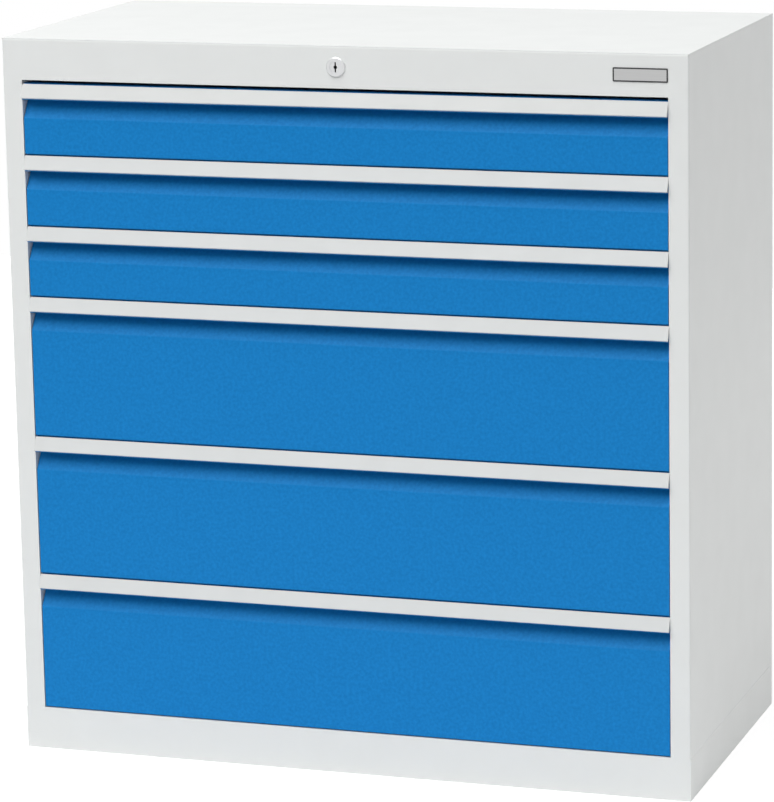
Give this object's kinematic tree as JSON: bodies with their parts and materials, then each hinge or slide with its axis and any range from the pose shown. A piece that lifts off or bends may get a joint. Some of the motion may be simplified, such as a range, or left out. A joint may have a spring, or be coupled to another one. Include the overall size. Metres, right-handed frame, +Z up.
{
  "type": "drawer cabinet",
  "caption": "Free-standing steel drawer cabinet with shallow and deep full-extension drawers on ball runners and a central cylinder lock that bars every drawer.",
  "frame": {"origin": "on the floor under the centre of the housing", "axes": "+X to the right seen from the front, +Y to the back, +Z up"},
  "size_m": [0.979, 0.487, 1.02],
  "materials": {
    "grey_powder_coat": "satin powder coat, light grey",
    "blue_powder_coat": "fine-textured powder coat, mid blue",
    "zinc_plated_steel": "bright zinc plate",
    "cage_plastic": "moulded, matt",
    "satin_nickel": "satin nickel plate",
    "anodised_aluminium": "anodised, satin"
  },
  "bodies": {
    "housing": {"back_panel": "grey_powder_coat", "blank_plate": "anodised_aluminium", "cabinet_rails": "zinc_plated_steel", "floor_panel": "grey_powder_coat", "lock_body": "satin_nickel", "lock_guides": "zinc_plated_steel", "lock_nut": "zinc_plated_steel", "plinth": "grey_powder_coat", "side_panel_left": "grey_powder_coat", "side_panel_right": "grey_powder_coat", "slotted_uprights": "zinc_plated_steel", "top_panel": "grey_powder_coat", "top_rail": "grey_powder_coat"},
    "drawer_1": {"drawer_1_front": "blue_powder_coat", "drawer_1_grip": "grey_powder_coat", "drawer_1_box": "grey_powder_coat", "drawer_1_rails": "zinc_plated_steel"},
    "carriage_1": {"drawer_1_carriage": "zinc_plated_steel"},
    "outer_cages_1": {"drawer_1_outer_cages": "cage_plastic"},
    "inner_cages_1": {"drawer_1_inner_cages": "cage_plastic"},
    "drawer_2": {"drawer_2_front": "blue_powder_coat", "drawer_2_grip": "grey_powder_coat", "drawer_2_box": "grey_powder_coat", "drawer_2_rails": "zinc_plated_steel"},
    "carriage_2": {"drawer_2_carriage": "zinc_plated_steel"},
    "outer_cages_2": {"drawer_2_outer_cages": "cage_plastic"},
    "inner_cages_2": {"drawer_2_inner_cages": "cage_plastic"},
    "drawer_3": {"drawer_3_front": "blue_powder_coat", "drawer_3_grip": "grey_powder_coat", "drawer_3_box": "grey_powder_coat", "drawer_3_rails": "zinc_plated_steel"},
    "carriage_3": {"drawer_3_carriage": "zinc_plated_steel"},
    "outer_cages_3": {"drawer_3_outer_cages": "cage_plastic"},
    "inner_cages_3": {"drawer_3_inner_cages": "cage_plastic"},
    "drawer_4": {"drawer_4_front": "blue_powder_coat", "drawer_4_grip": "grey_powder_coat", "drawer_4_box": "grey_powder_coat", "drawer_4_rails": "zinc_plated_steel"},
    "carriage_4": {"drawer_4_carriage": "zinc_plated_steel"},
    "outer_cages_4": {"drawer_4_outer_cages": "cage_plastic"},
    "inner_cages_4": {"drawer_4_inner_cages": "cage_plastic"},
    "drawer_5": {"drawer_5_front": "blue_powder_coat", "drawer_5_grip": "grey_powder_coat", "drawer_5_box": "grey_powder_coat", "drawer_5_rails": "zinc_plated_steel"},
    "carriage_5": {"drawer_5_carriage": "zinc_plated_steel"},
    "outer_cages_5": {"drawer_5_outer_cages": "cage_plastic"},
    "inner_cages_5": {"drawer_5_inner_cages": "cage_plastic"},
    "drawer_6": {"drawer_6_front": "blue_powder_coat", "drawer_6_grip": "grey_powder_coat", "drawer_6_box": "grey_powder_coat", "drawer_6_rails": "zinc_plated_steel"},
    "carriage_6": {"drawer_6_carriage": "zinc_plated_steel"},
    "outer_cages_6": {"drawer_6_outer_cages": "cage_plastic"},
    "inner_cages_6": {"drawer_6_inner_cages": "cage_plastic"},
    "lock_barrel": {"lock_barrel": "satin_nickel", "lock_cam": "zinc_plated_steel"},
    "lock_crossbar": {"lock_crossbar": "zinc_plated_steel"},
    "lock_bar": {"lock_bar": "zinc_plated_steel"}
  },
  "joints": [
    {"name": "drawer_1_slide", "type": "slide", "parent": "housing", "child": "drawer_1", "axis": [0, -1, 0], "range_m": [0, 0.38]},
    {"name": "carriage_1_slide", "type": "slide", "parent": "housing", "child": "carriage_1", "axis": [0, -1, 0], "range_m": [0, 0.19]},
    {"name": "outer_cages_1_slide", "type": "slide", "parent": "housing", "child": "outer_cages_1", "axis": [0, -1, 0], "range_m": [0, 0.095]},
    {"name": "inner_cages_1_slide", "type": "slide", "parent": "housing", "child": "inner_cages_1", "axis": [0, -1, 0], "range_m": [0, 0.285]},
    {"name": "drawer_2_slide", "type": "slide", "parent": "housing", "child": "drawer_2", "axis": [0, -1, 0], "range_m": [0, 0.38]},
    {"name": "carriage_2_slide", "type": "slide", "parent": "housing", "child": "carriage_2", "axis": [0, -1, 0], "range_m": [0, 0.19]},
    {"name": "outer_cages_2_slide", "type": "slide", "parent": "housing", "child": "outer_cages_2", "axis": [0, -1, 0], "range_m": [0, 0.095]},
    {"name": "inner_cages_2_slide", "type": "slide", "parent": "housing", "child": "inner_cages_2", "axis": [0, -1, 0], "range_m": [0, 0.285]},
    {"name": "drawer_3_slide", "type": "slide", "parent": "housing", "child": "drawer_3", "axis": [0, -1, 0], "range_m": [0, 0.38]},
    {"name": "carriage_3_slide", "type": "slide", "parent": "housing", "child": "carriage_3", "axis": [0, -1, 0], "range_m": [0, 0.19]},
    {"name": "outer_cages_3_slide", "type": "slide", "parent": "housing", "child": "outer_cages_3", "axis": [0, -1, 0], "range_m": [0, 0.095]},
    {"name": "inner_cages_3_slide", "type": "slide", "parent": "housing", "child": "inner_cages_3", "axis": [0, -1, 0], "range_m": [0, 0.285]},
    {"name": "drawer_4_slide", "type": "slide", "parent": "housing", "child": "drawer_4", "axis": [0, -1, 0], "range_m": [0, 0.38]},
    {"name": "carriage_4_slide", "type": "slide", "parent": "housing", "child": "carriage_4", "axis": [0, -1, 0], "range_m": [0, 0.19]},
    {"name": "outer_cages_4_slide", "type": "slide", "parent": "housing", "child": "outer_cages_4", "axis": [0, -1, 0], "range_m": [0, 0.095]},
    {"name": "inner_cages_4_slide", "type": "slide", "parent": "housing", "child": "inner_cages_4", "axis": [0, -1, 0], "range_m": [0, 0.285]},
    {"name": "drawer_5_slide", "type": "slide", "parent": "housing", "child": "drawer_5", "axis": [0, -1, 0], "range_m": [0, 0.38]},
    {"name": "carriage_5_slide", "type": "slide", "parent": "housing", "child": "carriage_5", "axis": [0, -1, 0], "range_m": [0, 0.19]},
    {"name": "outer_cages_5_slide", "type": "slide", "parent": "housing", "child": "outer_cages_5", "axis": [0, -1, 0], "range_m": [0, 0.095]},
    {"name": "inner_cages_5_slide", "type": "slide", "parent": "housing", "child": "inner_cages_5", "axis": [0, -1, 0], "range_m": [0, 0.285]},
    {"name": "drawer_6_slide", "type": "slide", "parent": "housing", "child": "drawer_6", "axis": [0, -1, 0], "range_m": [0, 0.38]},
    {"name": "carriage_6_slide", "type": "slide", "parent": "housing", "child": "carriage_6", "axis": [0, -1, 0], "range_m": [0, 0.19]},
    {"name": "outer_cages_6_slide", "type": "slide", "parent": "housing", "child": "outer_cages_6", "axis": [0, -1, 0], "range_m": [0, 0.095]},
    {"name": "inner_cages_6_slide", "type": "slide", "parent": "housing", "child": "inner_cages_6", "axis": [0, -1, 0], "range_m": [0, 0.285]},
    {"name": "lock_bar_slide", "type": "slide", "parent": "housing", "child": "lock_bar", "axis": [0, 0, 1], "range_m": [0, 0.014]},
    {"name": "lock_turn", "type": "hinge", "parent": "housing", "child": "lock_barrel", "pos_m": [0, -0.24, 0.9911], "axis": [0, 1, 0], "range_deg": [0, 90]},
    {"name": "lock_crossbar_slide", "type": "slide", "parent": "housing", "child": "lock_crossbar", "axis": [-1, 0, 0], "range_m": [0, 0.02263]}
  ],
  "couplings": [
    {"joint": "carriage_1_slide", "follows": "drawer_1_slide", "ratio": 0.5},
    {"joint": "outer_cages_1_slide", "follows": "drawer_1_slide", "ratio": 0.25},
    {"joint": "inner_cages_1_slide", "follows": "drawer_1_slide", "ratio": 0.75},
    {"joint": "carriage_2_slide", "follows": "drawer_2_slide", "ratio": 0.5},
    {"joint": "outer_cages_2_slide", "follows": "drawer_2_slide", "ratio": 0.25},
    {"joint": "inner_cages_2_slide", "follows": "drawer_2_slide", "ratio": 0.75},
    {"joint": "carriage_3_slide", "follows": "drawer_3_slide", "ratio": 0.5},
    {"joint": "outer_cages_3_slide", "follows": "drawer_3_slide", "ratio": 0.25},
    {"joint": "inner_cages_3_slide", "follows": "drawer_3_slide", "ratio": 0.75},
    {"joint": "carriage_4_slide", "follows": "drawer_4_slide", "ratio": 0.5},
    {"joint": "outer_cages_4_slide", "follows": "drawer_4_slide", "ratio": 0.25},
    {"joint": "inner_cages_4_slide", "follows": "drawer_4_slide", "ratio": 0.75},
    {"joint": "carriage_5_slide", "follows": "drawer_5_slide", "ratio": 0.5},
    {"joint": "outer_cages_5_slide", "follows": "drawer_5_slide", "ratio": 0.25},
    {"joint": "inner_cages_5_slide", "follows": "drawer_5_slide", "ratio": 0.75},
    {"joint": "carriage_6_slide", "follows": "drawer_6_slide", "ratio": 0.5},
    {"joint": "outer_cages_6_slide", "follows": "drawer_6_slide", "ratio": 0.25},
    {"joint": "inner_cages_6_slide", "follows": "drawer_6_slide", "ratio": 0.75},
    {"joint": "lock_turn", "follows": "lock_bar_slide", "rad_per_m": 112.19},
    {"joint": "lock_crossbar_slide", "follows": "lock_bar_slide", "ratio": 1.6162}
  ]
}
